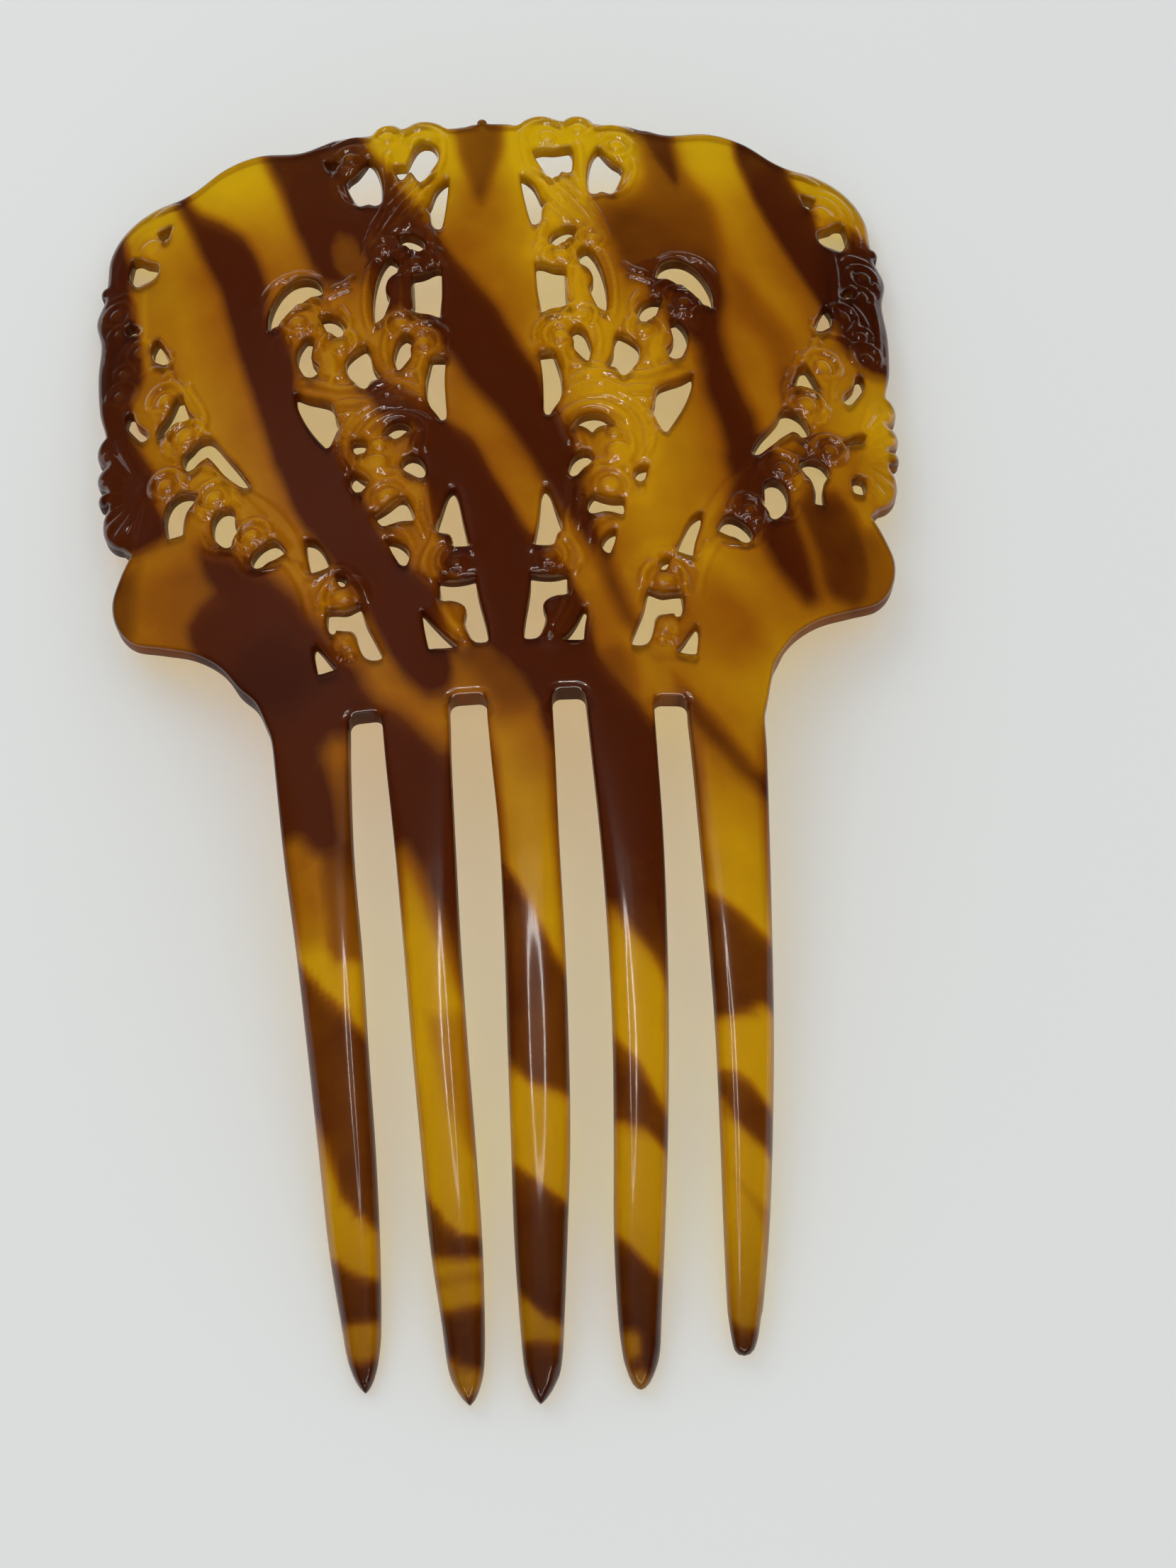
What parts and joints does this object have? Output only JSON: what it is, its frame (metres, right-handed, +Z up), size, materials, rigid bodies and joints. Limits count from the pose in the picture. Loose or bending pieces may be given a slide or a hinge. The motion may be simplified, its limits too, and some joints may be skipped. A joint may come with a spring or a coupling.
{
  "type": "mantilla comb",
  "caption": "Tall arched mantilla comb moulded in one piece, with pierced scrollwork in raised relief, scalloped sides, a plain bar and long tapering teeth.",
  "frame": {"origin": "under the middle of the comb, on the surface that it lies on", "axes": "+X across the comb, +Y from the teeth's tips to the top edge of the heading, +Z up, out of the raised face"},
  "size_m": [0.1062, 0.168, 0.0173],
  "materials": {
    "shell": "polished translucent amber with dark brown tortoiseshell streaks"
  },
  "bodies": {
    "root": {"comb": "shell"}
  },
  "joints": []
}
